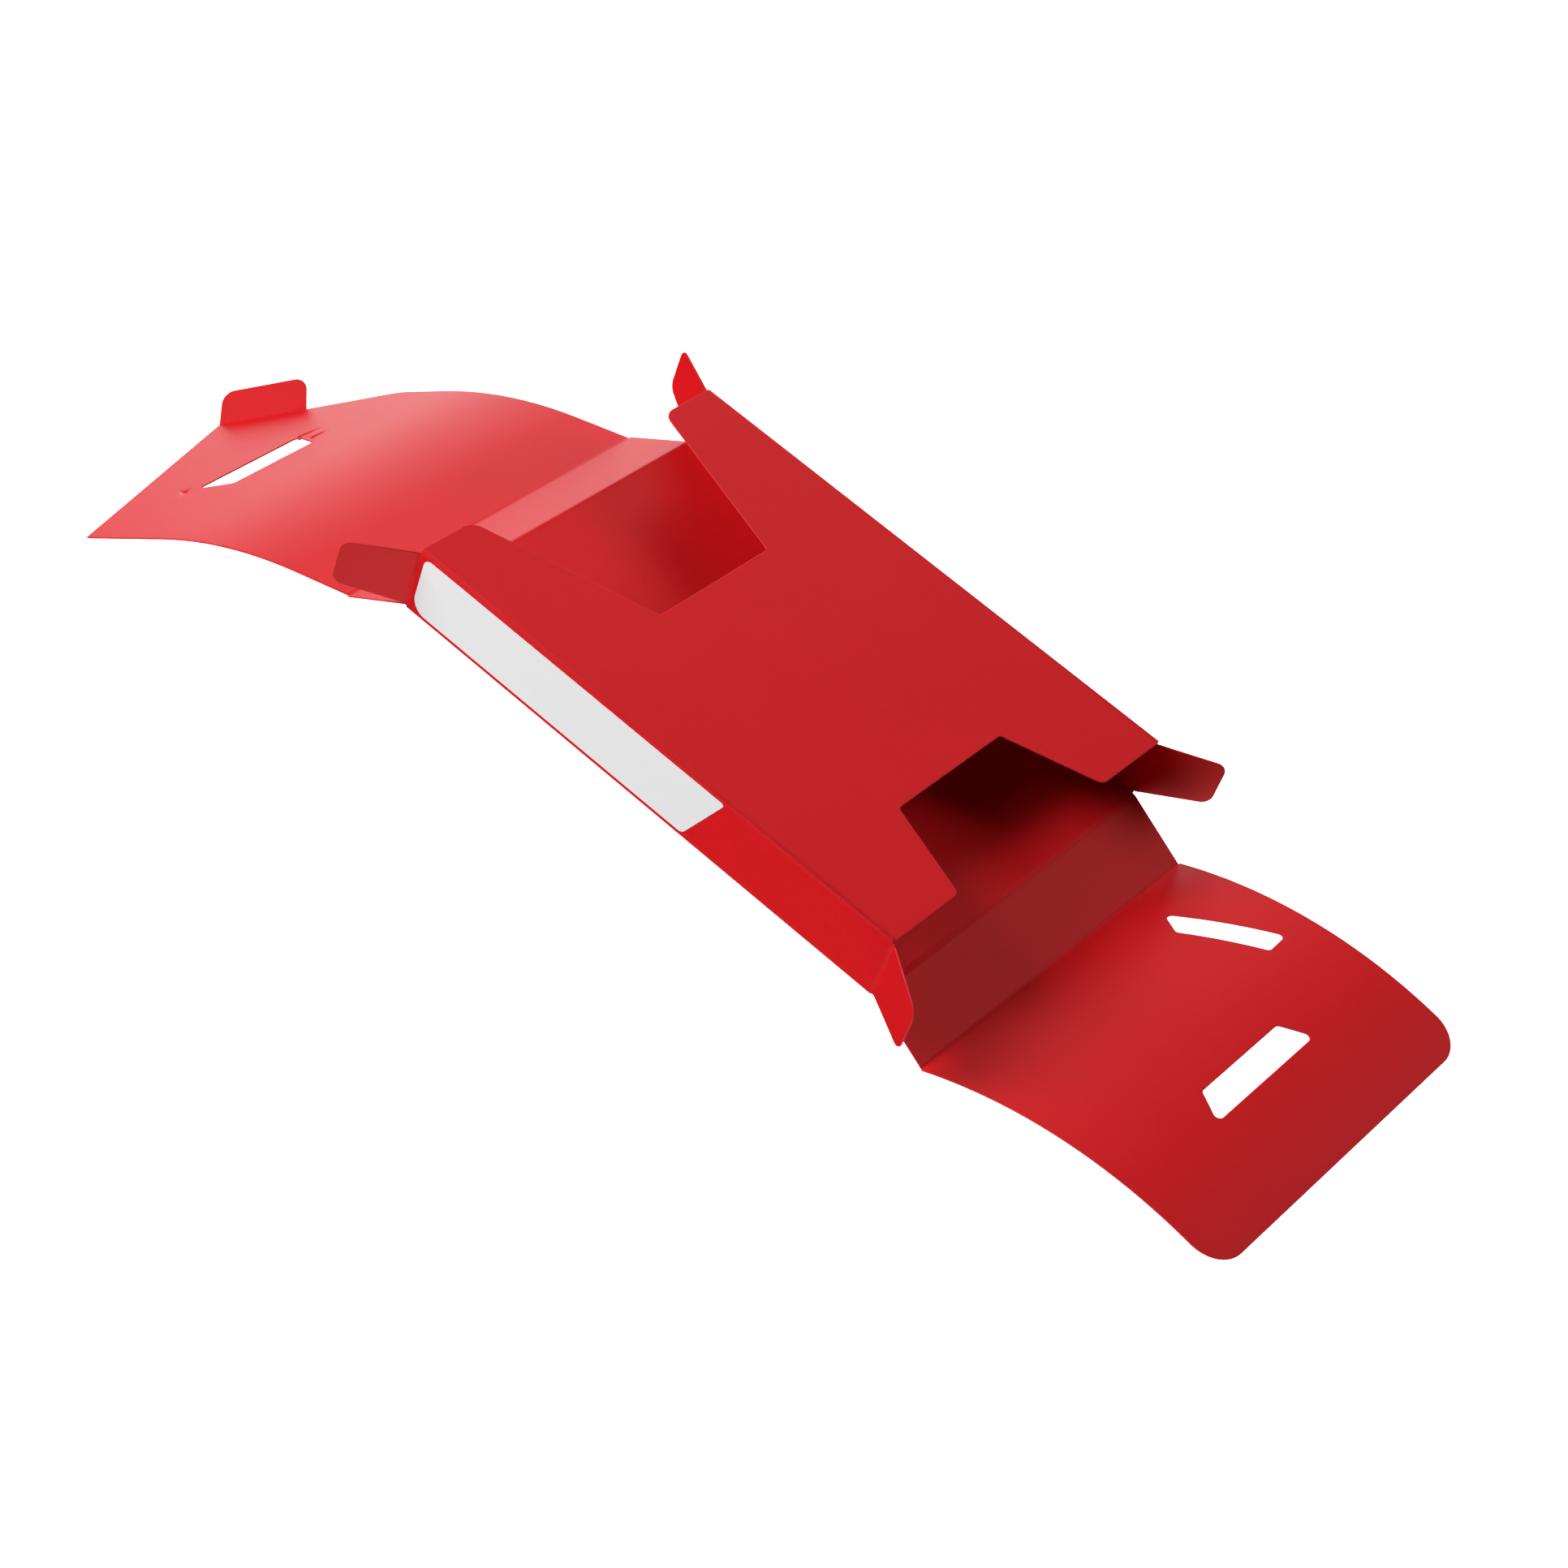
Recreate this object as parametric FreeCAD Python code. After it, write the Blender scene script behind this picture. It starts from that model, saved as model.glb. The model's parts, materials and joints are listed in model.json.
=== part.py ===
import FreeCAD, Part
import math
import os

os.makedirs("parts", exist_ok=True)

# A flat card sleeve with closing ends, folded from one die-cut blank.
# Millimetres and degrees. X runs along the sleeve, Y from its near wall to its far wall, +Z is up.
# The origin is the middle of the base panel's outer face.

# ---------------------------------------------------------------- driving dimensions
CARD = 0.5                   # thickness of the card
FOLD_GAP = 0.05              # air between a panel's edge and the turning corner of its fold

SLEEVE_LENGTH = 180.0        # outside, along X
SLEEVE_WIDTH = 129.3         # outside, along Y
SLEEVE_HEIGHT = 22.8         # outside, along Z

LEFT_NOTCH_DEPTH = 58.0      # finger notches in the top panel: a mouth at the panel's end
LEFT_NOTCH_MOUTH = 86.8      # that narrows to a floor
LEFT_NOTCH_FLOOR = 49.2
RIGHT_NOTCH_DEPTH = 30.8
RIGHT_NOTCH_MOUTH = 70.8
RIGHT_NOTCH_FLOOR = 48.6
LEFT_EAR_ROUND = 5.0
RIGHT_EAR_ROUND = 2.6
NOTCH_FLOOR_ROUND = 1.8

CLOSURE_ALLOWANCE = 0.8      # how far the end folds stand outside the dust flap folds
DUST_FLAP_REACH = 22.6
DUST_FLAP_MARGIN = 0.85      # a dust flap's root is this much lower than the wall's inside, each side
DUST_FLAP_TAPER = 2.15       # and its free end this much lower again, each side
DUST_FLAP_ROUND = 3.6
DUST_FLAP_SPREAD = {"left_near": 38.0, "left_far": 31.0, "right_near": 34.0, "right_far": 37.0}

TOP_ALLOWANCE = 1.3          # the end strips, which close the mouths, are this much taller than the sleeve
STRIP_INSET = 0.65           # each side, from the outside of the walls
LEFT_STRIP_DROP = 34.4       # how far each strip hangs below level
RIGHT_STRIP_DROP = 26.9

RIGHT_TONGUE_INSET = 0.15    # each side, from the outside of the walls
RIGHT_TONGUE_REACH = 102.5   # along the bent card
RIGHT_TONGUE_RISE = 27.9     # its root climbs at this angle
RIGHT_TONGUE_BEND = 146.4    # radius of its curl
RIGHT_TONGUE_ROUND = 11.0
RIGHT_SLOT_START = 63.1      # the broad slot, along the bent card from the tongue's fold
RIGHT_SLOT_BREADTH = 9.4
RIGHT_SLOT_ROOT_SIDE = 38.6
RIGHT_SLOT_TIP_SIDE = 50.0
SLOT_ROUND = 1.6

LEFT_TONGUE_INSET = 1.35     # each side, from the outside of the walls
LEFT_TONGUE_DROP = 19.1      # its root falls at this angle
LEFT_TONGUE_LEAD = 22.0      # flat stretch before the bend
LEFT_TONGUE_BEND = 172.0     # radius of the bend
LEFT_TONGUE_TURN = 19.4      # angle of the bend
LEFT_NEAR_SHORT = 45.2       # how far short of the lock's corner the tongue's near corner ends
LEFT_SLOT_SHORT = 65.6       # and how far short of it the slot's root side lies
LEFT_SLOT_BREADTH = 12.2
LEFT_SLOT_ROOT_SIDE = 35.5
LEFT_SLOT_TIP_SIDE = 45.0
LEFT_SHOULDER_ROUND = 18.0   # where the far edge turns into the locking edge
SHARP_ROUND = 0.8

LOCK_SLANT = 25.0            # the locking edge and its slot lie at this angle to the length
LOCK_OVERLAP = 0.7           # how far the lock's corner passes the slot's corner, both tongues closed
LOCK_MARGIN = 29.75          # that corner's distance from the outside of the far wall
LOCK_TAB_ROOT = 32.5
LOCK_TAB_REACH = 12.2
LOCK_TAB_INSET = 0.5         # each end of the tab's free edge
LOCK_TAB_ROUND = 4.6
LOCK_TAB_RISE = 45.0         # how far the tab stands up from the tongue
LOCK_SLOT_BREADTH = 8.5
LOCK_SLOT_START = 20.0       # along the card from the right tongue's fold to the slot's inner root corner
LOCK_SLOT_MARGIN = 32.45     # that corner's distance from the outside of the far wall
LOCK_CLEARANCE = 3.1         # the slot's outer side is this much longer than the tab
LOCK_SLOT_TAPER = 8.3        # and its inner side this much shorter than the outer one
LOCK_SLOT_LEAN = 4.7         # how far its outer side starts back towards the fold

GLUE_FLAP_BREADTH = 13.0
GLUE_FLAP_INSET = 14.0       # from each end of the sleeve
GLUE_FLAP_SLOPE = 4.0        # how much its free edge is shorter at each end

LABEL_THICKNESS = 0.1
LABEL_END_MARGIN = 2.2       # from the left end of the wall
LABEL_EDGE_MARGIN = 1.5      # from the folds above and below
LABEL_LENGTH = 116.0
LABEL_SLANT = 9.5            # its right end leans by this much
LABEL_ROUND = 2.6

# ---------------------------------------------------------------- worked out from them
HALF_CARD = CARD / 2
HALF_LENGTH = SLEEVE_LENGTH / 2
HALF_WIDTH = SLEEVE_WIDTH / 2
SET_BACK = HALF_CARD + FOLD_GAP              # from a two-way fold line to the panels beside it
FOLD_Y = HALF_WIDTH - CARD                   # the sleeve's fold lines run along its inside corners
FOLD_LOW = CARD
FOLD_HIGH = SLEEVE_HEIGHT - CARD
WALL_END = HALF_LENGTH - SET_BACK
END_FOLD = HALF_LENGTH + CLOSURE_ALLOWANCE   # fold lines of the end strips
STRIP_REACH = SLEEVE_HEIGHT + TOP_ALLOWANCE
STRIP_HALF = HALF_WIDTH - STRIP_INSET
RIGHT_TONGUE_HALF = HALF_WIDTH - RIGHT_TONGUE_INSET
LEFT_TONGUE_HALF = HALF_WIDTH - LEFT_TONGUE_INSET
LOCK_REACH = 2 * END_FOLD - LOCK_SLOT_START + LOCK_OVERLAP   # along the card to the lock's corner
LOCK_OFFSET = HALF_WIDTH - LOCK_MARGIN
LOCK_SLOT_OFFSET = HALF_WIDTH - LOCK_SLOT_MARGIN
LOCK_SLOT_OUTER = LOCK_TAB_ROOT + LOCK_CLEARANCE
LOCK_SLOT_INNER = LOCK_SLOT_OUTER - LOCK_SLOT_TAPER
CUTTER_DEPTH = 12.0          # a cutter reaches this far each side of bent card

X_AXIS = FreeCAD.Vector(1, 0, 0)
Y_AXIS = FreeCAD.Vector(0, 1, 0)
Z_AXIS = FreeCAD.Vector(0, 0, 1)


# ---------------------------------------------------------------- helpers
class Frame:
    """A flat sheet's own directions: outward from its fold, along the fold, and square to the sheet."""

    def __init__(self, origin, out, along, normal):
        self.origin = origin
        self.out = out
        self.along = along
        self.normal = normal

    def point(self, out, along, lift=0.0):
        return self.origin + self.out * out + self.along * along + self.normal * lift

    def moved(self, out, along=0.0, lift=0.0):
        return Frame(self.point(out, along, lift), self.out, self.along, self.normal)

    def folded(self, angle):
        """The sheet beyond a fold here, turned towards the normal by an angle in degrees."""
        turn = math.radians(angle)
        out = self.out * math.cos(turn) + self.normal * math.sin(turn)
        normal = self.normal * math.cos(turn) - self.out * math.sin(turn)
        return Frame(self.origin, out, self.along, normal)

    def turned(self, angle):
        """The same sheet with its outward direction turned in the sheet, towards the fold's direction."""
        turn = math.radians(angle)
        out = self.out * math.cos(turn) + self.along * math.sin(turn)
        along = self.along * math.cos(turn) - self.out * math.sin(turn)
        return Frame(self.origin, out, along, self.normal)


def arc_through(start, middle, end):
    return Part.Arc(start, middle, end).toShape()


def outline(frame, corners, lift):
    """A closed wire through (out, along, round) corners, each rounded by its own radius."""
    count = len(corners)
    flat = [FreeCAD.Vector(c[0], c[1], 0) for c in corners]
    stops = []
    for i in range(count):
        here = flat[i]
        back = (flat[i - 1] - here).normalize()
        ahead = (flat[(i + 1) % count] - here).normalize()
        radius = corners[i][2]
        if radius == 0:
            stops.append((here, None, here))
            continue
        half = back.getAngle(ahead) / 2
        run = radius / math.tan(half)
        centre = here + (back + ahead).normalize() * (radius / math.sin(half))
        middle = centre + (here - centre).normalize() * radius
        stops.append((here + back * run, middle, here + ahead * run))

    def place(flat_point):
        return frame.point(flat_point.x, flat_point.y, lift)

    edges = []
    for i in range(count):
        begin, middle, end = stops[i]
        if middle is not None:
            edges.append(arc_through(place(begin), place(middle), place(end)))
        edges.append(Part.LineSegment(place(end), place(stops[(i + 1) % count][0])).toShape())
    return Part.Wire(edges)


def plate(frame, corners, low=-HALF_CARD, high=HALF_CARD):
    """A flat sheet of card, or a cutter, between two heights square to the frame."""
    face = Part.Face(outline(frame, corners, low))
    return face.extrude(frame.normal * (high - low))


def rectangle(start, end, half, tip_round=0.0):
    """Corners of a panel that is as broad at its free end as at its fold."""
    return [(start, -half, 0), (end, -half, tip_round), (end, half, tip_round), (start, half, 0)]


def fold_web(frame, angle, half):
    """The creased card in a two-way fold: it fills the gap between the panels' edges."""
    slope = HALF_CARD * math.tan(math.radians(angle) / 2)
    beyond = frame.folded(angle)
    section = [
        frame.point(-SET_BACK, -half, HALF_CARD),
        frame.point(-slope, -half, HALF_CARD),
        beyond.point(SET_BACK, -half, HALF_CARD),
        beyond.point(SET_BACK, -half, -HALF_CARD),
        frame.point(slope, -half, -HALF_CARD),
        frame.point(-SET_BACK, -half, -HALF_CARD),
    ]
    face = Part.Face(Part.makePolygon(section + section[:1]))
    return face.extrude(frame.along * (2 * half))


def corner_web(side, level):
    """The creased card along one long corner of the sleeve: round outside, square inside."""
    outward = side * CARD
    upward = -CARD if level == FOLD_LOW else CARD
    gap_y = -side * FOLD_GAP
    gap_z = FOLD_GAP if level == FOLD_LOW else -FOLD_GAP
    y = side * FOLD_Y

    def at(dy, dz):
        return FreeCAD.Vector(-WALL_END, y + dy, level + dz)

    middle = math.sqrt(0.5)
    edges = [
        Part.LineSegment(at(gap_y, 0), at(gap_y, upward)).toShape(),
        Part.LineSegment(at(gap_y, upward), at(0, upward)).toShape(),
        arc_through(at(0, upward), at(outward * middle, upward * middle), at(outward, 0)),
        Part.LineSegment(at(outward, 0), at(outward, gap_z)).toShape(),
        Part.LineSegment(at(outward, gap_z), at(0, gap_z)).toShape(),
        Part.LineSegment(at(0, gap_z), at(0, 0)).toShape(),
        Part.LineSegment(at(0, 0), at(gap_y, 0)).toShape(),
    ]
    return Part.Face(Part.Wire(edges)).extrude(X_AXIS * (2 * WALL_END))


def bent_sheet(frame, start, lead, radius, turn, half):
    """Card that runs straight for a lead and then bends away from its normal round a radius."""
    end = math.radians(turn)

    def on_arc(angle, lift):
        reach = (radius + lift) * math.sin(angle)
        return frame.point(lead + reach, -half, (radius + lift) * math.cos(angle) - radius)

    edges = []
    if lead > start:
        edges.append(Part.LineSegment(frame.point(start, -half, HALF_CARD), on_arc(0, HALF_CARD)).toShape())
        begin = 0.0
    else:
        begin = (start - lead) / radius
    middle = (begin + end) / 2
    outer_arc = [on_arc(angle, HALF_CARD) for angle in (begin, middle, end)]
    inner_arc = [on_arc(angle, -HALF_CARD) for angle in (end, middle, begin)]
    edges.append(arc_through(*outer_arc))
    edges.append(Part.LineSegment(outer_arc[-1], inner_arc[0]).toShape())
    edges.append(arc_through(*inner_arc))
    if lead > start:
        root_point = frame.point(start, -half, -HALF_CARD)
        edges.append(Part.LineSegment(inner_arc[-1], root_point).toShape())
    edges.append(Part.LineSegment(edges[-1].Vertexes[-1].Point, edges[0].Vertexes[0].Point).toShape())
    return Part.Face(Part.Wire(edges)).extrude(frame.along * (2 * half))


def station(frame, lead, radius, reach):
    """The sheet's frame at a distance along the bent card, inside the bend."""
    angle = math.degrees((reach - lead) / radius)
    bend = math.radians(angle)
    spot = frame.moved(lead + radius * math.sin(bend), 0, radius * (math.cos(bend) - 1))
    return spot.folded(-angle)


def save(name, shape):
    if len(shape.Solids) != 1 or not shape.isValid():
        raise RuntimeError(name + " is not one sound solid")
    shape.exportStep("parts/" + name + ".step")


# ---------------------------------------------------------------- the sleeve
def base_panel():
    level = Frame(FreeCAD.Vector(0, 0, 0), X_AXIS, Y_AXIS, Z_AXIS)
    edge = END_FOLD - SET_BACK
    return plate(level, rectangle(-edge, edge, FOLD_Y - FOLD_GAP), 0, CARD)


def wall(side):
    """side is -1 for the near wall and 1 for the far wall."""
    face = Frame(FreeCAD.Vector(0, side * (HALF_WIDTH - HALF_CARD), 0), X_AXIS, Z_AXIS, Y_AXIS)
    low = FOLD_LOW + FOLD_GAP
    high = FOLD_HIGH - FOLD_GAP
    return plate(face, [(-WALL_END, low, 0), (WALL_END, low, 0), (WALL_END, high, 0), (-WALL_END, high, 0)])


def top_panel():
    level = Frame(FreeCAD.Vector(0, 0, 0), X_AXIS, Y_AXIS, Z_AXIS)
    edge = FOLD_Y - FOLD_GAP
    right_floor = HALF_LENGTH - RIGHT_NOTCH_DEPTH
    left_floor = -HALF_LENGTH + LEFT_NOTCH_DEPTH
    corners = [
        (HALF_LENGTH, -edge, 0),
        (HALF_LENGTH, -RIGHT_NOTCH_MOUTH / 2, RIGHT_EAR_ROUND),
        (right_floor, -RIGHT_NOTCH_FLOOR / 2, NOTCH_FLOOR_ROUND),
        (right_floor, RIGHT_NOTCH_FLOOR / 2, NOTCH_FLOOR_ROUND),
        (HALF_LENGTH, RIGHT_NOTCH_MOUTH / 2, RIGHT_EAR_ROUND),
        (HALF_LENGTH, edge, 0),
        (-HALF_LENGTH, edge, 0),
        (-HALF_LENGTH, LEFT_NOTCH_MOUTH / 2, LEFT_EAR_ROUND),
        (left_floor, LEFT_NOTCH_FLOOR / 2, NOTCH_FLOOR_ROUND),
        (left_floor, -LEFT_NOTCH_FLOOR / 2, NOTCH_FLOOR_ROUND),
        (-HALF_LENGTH, -LEFT_NOTCH_MOUTH / 2, LEFT_EAR_ROUND),
        (-HALF_LENGTH, -edge, 0),
    ]
    return plate(level, corners, FOLD_HIGH, SLEEVE_HEIGHT)


def glue_flap():
    """Bonded flat to the inside of the far wall, just under the top fold."""
    inside = FOLD_Y - HALF_CARD
    face = Frame(FreeCAD.Vector(0, inside, 0), X_AXIS, Z_AXIS, Y_AXIS)
    high = FOLD_HIGH - SET_BACK
    low = high - GLUE_FLAP_BREADTH
    edge = HALF_LENGTH - GLUE_FLAP_INSET
    short = edge - GLUE_FLAP_SLOPE
    return plate(face, [(-short, low, 0), (short, low, 0), (edge, high, 0), (-edge, high, 0)])


def label():
    face = Frame(FreeCAD.Vector(0, -HALF_WIDTH, 0), X_AXIS, Z_AXIS, Y_AXIS * -1)
    low = LABEL_EDGE_MARGIN
    high = SLEEVE_HEIGHT - LABEL_EDGE_MARGIN
    start = -HALF_LENGTH + LABEL_END_MARGIN
    end = start + LABEL_LENGTH
    corners = [
        (start, low, 2 * LABEL_ROUND),
        (end - LABEL_SLANT, low, LABEL_ROUND),
        (end, high, SHARP_ROUND),
        (start, high, LABEL_ROUND),
    ]
    return plate(face, corners, 0, LABEL_THICKNESS)


# ---------------------------------------------------------------- dust flaps
def flap_frame(end, side):
    """The wall's frame at a dust flap's fold: end is 1 right or -1 left, side is 1 far or -1 near."""
    origin = FreeCAD.Vector(end * HALF_LENGTH, side * (HALF_WIDTH - HALF_CARD), SLEEVE_HEIGHT / 2)
    return Frame(origin, X_AXIS * end, Z_AXIS, Y_AXIS * side)


def flap_root():
    return FOLD_HIGH - SLEEVE_HEIGHT / 2 - DUST_FLAP_MARGIN


def dust_flap(end, side, spread):
    sheet = flap_frame(end, side).folded(spread)
    root = flap_root()
    tip = root - DUST_FLAP_TAPER
    corners = [
        (SET_BACK, -root, 0),
        (DUST_FLAP_REACH, -tip, DUST_FLAP_ROUND),
        (DUST_FLAP_REACH, tip, DUST_FLAP_ROUND),
        (SET_BACK, root, 0),
    ]
    return plate(sheet, corners)


# ---------------------------------------------------------------- end strips and tongues
def end_frame(end):
    """The base panel's frame at an end strip's fold line."""
    return Frame(FreeCAD.Vector(end * END_FOLD, 0, HALF_CARD), X_AXIS * end, Y_AXIS, Z_AXIS)


def strip_frame(end):
    return end_frame(end).folded(-RIGHT_STRIP_DROP if end > 0 else -LEFT_STRIP_DROP)


def strip(end):
    return plate(strip_frame(end), rectangle(SET_BACK, STRIP_REACH - SET_BACK, STRIP_HALF))


def tongue_fold(end):
    """How far a tongue is folded up from its strip."""
    if end > 0:
        return RIGHT_STRIP_DROP + RIGHT_TONGUE_RISE
    return LEFT_STRIP_DROP - LEFT_TONGUE_DROP


def tongue_frame(end):
    return strip_frame(end).moved(STRIP_REACH).folded(tongue_fold(end))


def cut_through(sheet, frame, corners):
    """Cut a shape through bent card; the cutter is deep enough to clear the bend."""
    return sheet.cut(plate(frame, corners, -CUTTER_DEPTH, CUTTER_DEPTH))


def trimmed(sheet, frame, corners, depth):
    """Keep what lies inside an outline drawn at the free end of bent card."""
    return sheet.common(plate(frame, corners, -depth, depth))


def right_tongue():
    frame = tongue_frame(1)
    half = RIGHT_TONGUE_HALF
    turn = math.degrees((RIGHT_TONGUE_REACH - SET_BACK) / RIGHT_TONGUE_BEND)
    sheet = bent_sheet(frame, SET_BACK, SET_BACK, RIGHT_TONGUE_BEND, turn, half)
    tip = station(frame, SET_BACK, RIGHT_TONGUE_BEND, RIGHT_TONGUE_REACH)
    blank = rectangle(-RIGHT_TONGUE_REACH, 0, half, RIGHT_TONGUE_ROUND)
    sheet = trimmed(sheet, tip, blank, RIGHT_TONGUE_REACH)

    breadth = RIGHT_SLOT_BREADTH / 2
    slot = station(frame, SET_BACK, RIGHT_TONGUE_BEND, RIGHT_SLOT_START + breadth)
    sheet = cut_through(sheet, slot, [
        (-breadth, -RIGHT_SLOT_ROOT_SIDE / 2, SLOT_ROUND),
        (breadth, -RIGHT_SLOT_TIP_SIDE / 2, SLOT_ROUND),
        (breadth, RIGHT_SLOT_TIP_SIDE / 2, SLOT_ROUND),
        (-breadth, RIGHT_SLOT_ROOT_SIDE / 2, SLOT_ROUND),
    ])

    middle = LOCK_SLOT_INNER / 2 * math.cos(math.radians(LOCK_SLANT))
    aside = LOCK_SLOT_INNER / 2 * math.sin(math.radians(LOCK_SLANT))
    lock = station(frame, SET_BACK, RIGHT_TONGUE_BEND, LOCK_SLOT_START + middle)
    lock = lock.moved(0, LOCK_SLOT_OFFSET + aside).turned(LOCK_SLANT)
    inner = LOCK_SLOT_INNER / 2
    outer_start = -inner - LOCK_SLOT_LEAN
    return cut_through(sheet, lock, [
        (-inner, 0, SLOT_ROUND),
        (inner, 0, SLOT_ROUND),
        (outer_start + LOCK_SLOT_OUTER, LOCK_SLOT_BREADTH, SLOT_ROUND),
        (outer_start, LOCK_SLOT_BREADTH, SLOT_ROUND),
    ])


def left_tail_start():
    """Distance along the left tongue to the end of its bend; beyond it the card is flat."""
    return LEFT_TONGUE_LEAD + LEFT_TONGUE_BEND * math.radians(LEFT_TONGUE_TURN)


def left_tail_frame():
    return station(tongue_frame(-1), LEFT_TONGUE_LEAD, LEFT_TONGUE_BEND, left_tail_start())


def left_tongue():
    half = LEFT_TONGUE_HALF
    bend = bent_sheet(
        tongue_frame(-1), SET_BACK, LEFT_TONGUE_LEAD, LEFT_TONGUE_BEND, LEFT_TONGUE_TURN, half
    )
    tip = LOCK_REACH - left_tail_start()
    shoulder = tip - (half - LOCK_OFFSET) / math.tan(math.radians(LOCK_SLANT))
    sheet = bend.fuse(plate(left_tail_frame(), rectangle(0, tip, half))).removeSplitter()
    sheet = trimmed(sheet, left_tail_frame(), [
        (-LOCK_REACH, -half, 0),
        (tip - LEFT_NEAR_SHORT, -half, SHARP_ROUND),
        (tip, LOCK_OFFSET, SHARP_ROUND),
        (shoulder, half, LEFT_SHOULDER_ROUND),
        (-LOCK_REACH, half, 0),
    ], LOCK_REACH)
    slot_start = tip - LEFT_SLOT_SHORT
    return cut_through(sheet, left_tail_frame(), [
        (slot_start, -LEFT_SLOT_ROOT_SIDE / 2, SLOT_ROUND),
        (slot_start + LEFT_SLOT_BREADTH, -LEFT_SLOT_TIP_SIDE / 2, SLOT_ROUND),
        (slot_start + LEFT_SLOT_BREADTH, LEFT_SLOT_TIP_SIDE / 2, SLOT_ROUND),
        (slot_start, LEFT_SLOT_ROOT_SIDE / 2, SLOT_ROUND),
    ])


def lock_frame():
    """The left tongue's frame at the middle of the lock tab's fold, pointing off its locking edge."""
    corner = left_tail_frame().moved(LOCK_REACH - left_tail_start(), LOCK_OFFSET)
    edge = corner.turned(90.0 - LOCK_SLANT)
    return edge.moved(SET_BACK, LOCK_TAB_ROOT / 2)


def lock_tab():
    half = LOCK_TAB_ROOT / 2
    free = half - LOCK_TAB_INSET
    corners = [
        (SET_BACK, -half, 0),
        (LOCK_TAB_REACH, -free, LOCK_TAB_ROUND),
        (LOCK_TAB_REACH, free, LOCK_TAB_ROUND),
        (SET_BACK, half, 0),
    ]
    return plate(lock_frame().folded(LOCK_TAB_RISE), corners)


# ---------------------------------------------------------------- the nodes
save("base_panel", base_panel())
save("near_wall", wall(-1))
save("far_wall", wall(1))
save("top_panel", top_panel())
save("glue_flap", glue_flap())
save("label", label())
save("crease_base_near", corner_web(-1, FOLD_LOW))
save("crease_base_far", corner_web(1, FOLD_LOW))
save("crease_top_near", corner_web(-1, FOLD_HIGH))
save("crease_top_far", corner_web(1, FOLD_HIGH))

for end_name, end in (("left", -1), ("right", 1)):
    for side_name, side in (("near", -1), ("far", 1)):
        place = end_name + "_" + side_name
        spread = DUST_FLAP_SPREAD[place]
        save("flap_" + place, dust_flap(end, side, spread))
        save("crease_flap_" + place, fold_web(flap_frame(end, side), spread, flap_root()))
    drop = RIGHT_STRIP_DROP if end > 0 else LEFT_STRIP_DROP
    save(end_name + "_strip", strip(end))
    save("crease_" + end_name + "_strip", fold_web(end_frame(end), -drop, STRIP_HALF))
    tongue_half = min(STRIP_HALF, RIGHT_TONGUE_HALF if end > 0 else LEFT_TONGUE_HALF)
    web = fold_web(strip_frame(end).moved(STRIP_REACH), tongue_fold(end), tongue_half)
    save("crease_" + end_name + "_tongue", web)

save("right_tongue", right_tongue())
save("left_tongue", left_tongue())
save("lock_tab", lock_tab())
save("crease_lock_tab", fold_web(lock_frame(), LOCK_TAB_RISE, LOCK_TAB_ROOT / 2))
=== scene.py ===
# %% [markdown]
# # A folding card sleeve
# The object is one sheet of thick red card, cut and creased in a press and folded into a flat
# sleeve that is open at both ends. Each end has two small dust flaps, a narrow strip as tall as
# the sleeve, and a long tongue with a slot. One tongue carries a small tab that locks into the
# other one. A blank white label is stuck to one side.
#
# The imported model already says how long everything is, where each fold lies and what moves with
# what. So this lesson reads those facts from it, and makes only what a ruler can't hold: soft cut
# edges, pressed creases, the bow of a sheet, and the finish.

# %% Load the imported model
import json
import math

import bpy
import numpy as np
from mathutils import Matrix, Vector
from mathutils.geometry import delaunay_2d_cdt


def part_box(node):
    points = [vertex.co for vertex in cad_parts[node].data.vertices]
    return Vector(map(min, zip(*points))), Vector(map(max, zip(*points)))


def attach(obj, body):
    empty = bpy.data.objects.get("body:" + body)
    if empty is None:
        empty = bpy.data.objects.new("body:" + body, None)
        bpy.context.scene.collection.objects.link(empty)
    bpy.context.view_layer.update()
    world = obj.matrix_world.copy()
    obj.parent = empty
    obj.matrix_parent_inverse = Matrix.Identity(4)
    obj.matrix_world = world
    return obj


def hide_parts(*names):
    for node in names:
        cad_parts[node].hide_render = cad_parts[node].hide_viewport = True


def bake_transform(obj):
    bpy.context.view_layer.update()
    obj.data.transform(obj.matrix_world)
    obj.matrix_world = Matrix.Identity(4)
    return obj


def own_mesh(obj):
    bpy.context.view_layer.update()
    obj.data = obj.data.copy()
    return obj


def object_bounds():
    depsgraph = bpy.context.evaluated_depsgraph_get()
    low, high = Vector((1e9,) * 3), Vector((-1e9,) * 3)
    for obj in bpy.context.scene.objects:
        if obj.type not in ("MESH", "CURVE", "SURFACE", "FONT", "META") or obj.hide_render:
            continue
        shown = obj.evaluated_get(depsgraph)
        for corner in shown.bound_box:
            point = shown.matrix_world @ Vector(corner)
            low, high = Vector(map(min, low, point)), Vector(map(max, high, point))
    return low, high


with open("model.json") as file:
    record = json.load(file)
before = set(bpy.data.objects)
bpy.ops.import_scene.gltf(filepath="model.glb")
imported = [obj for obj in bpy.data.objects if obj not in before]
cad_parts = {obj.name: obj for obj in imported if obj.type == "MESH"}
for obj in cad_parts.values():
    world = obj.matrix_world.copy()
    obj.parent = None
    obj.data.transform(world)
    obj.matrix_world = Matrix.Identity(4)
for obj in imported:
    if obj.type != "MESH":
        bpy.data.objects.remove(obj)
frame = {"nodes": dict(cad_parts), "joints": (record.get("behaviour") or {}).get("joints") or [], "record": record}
nodes = frame["nodes"]
joints = {joint["name"]: joint for joint in frame["joints"]}
body_of = {node: body for body, held in frame["record"]["behaviour"]["bodies"].items() for node in held}
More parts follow.
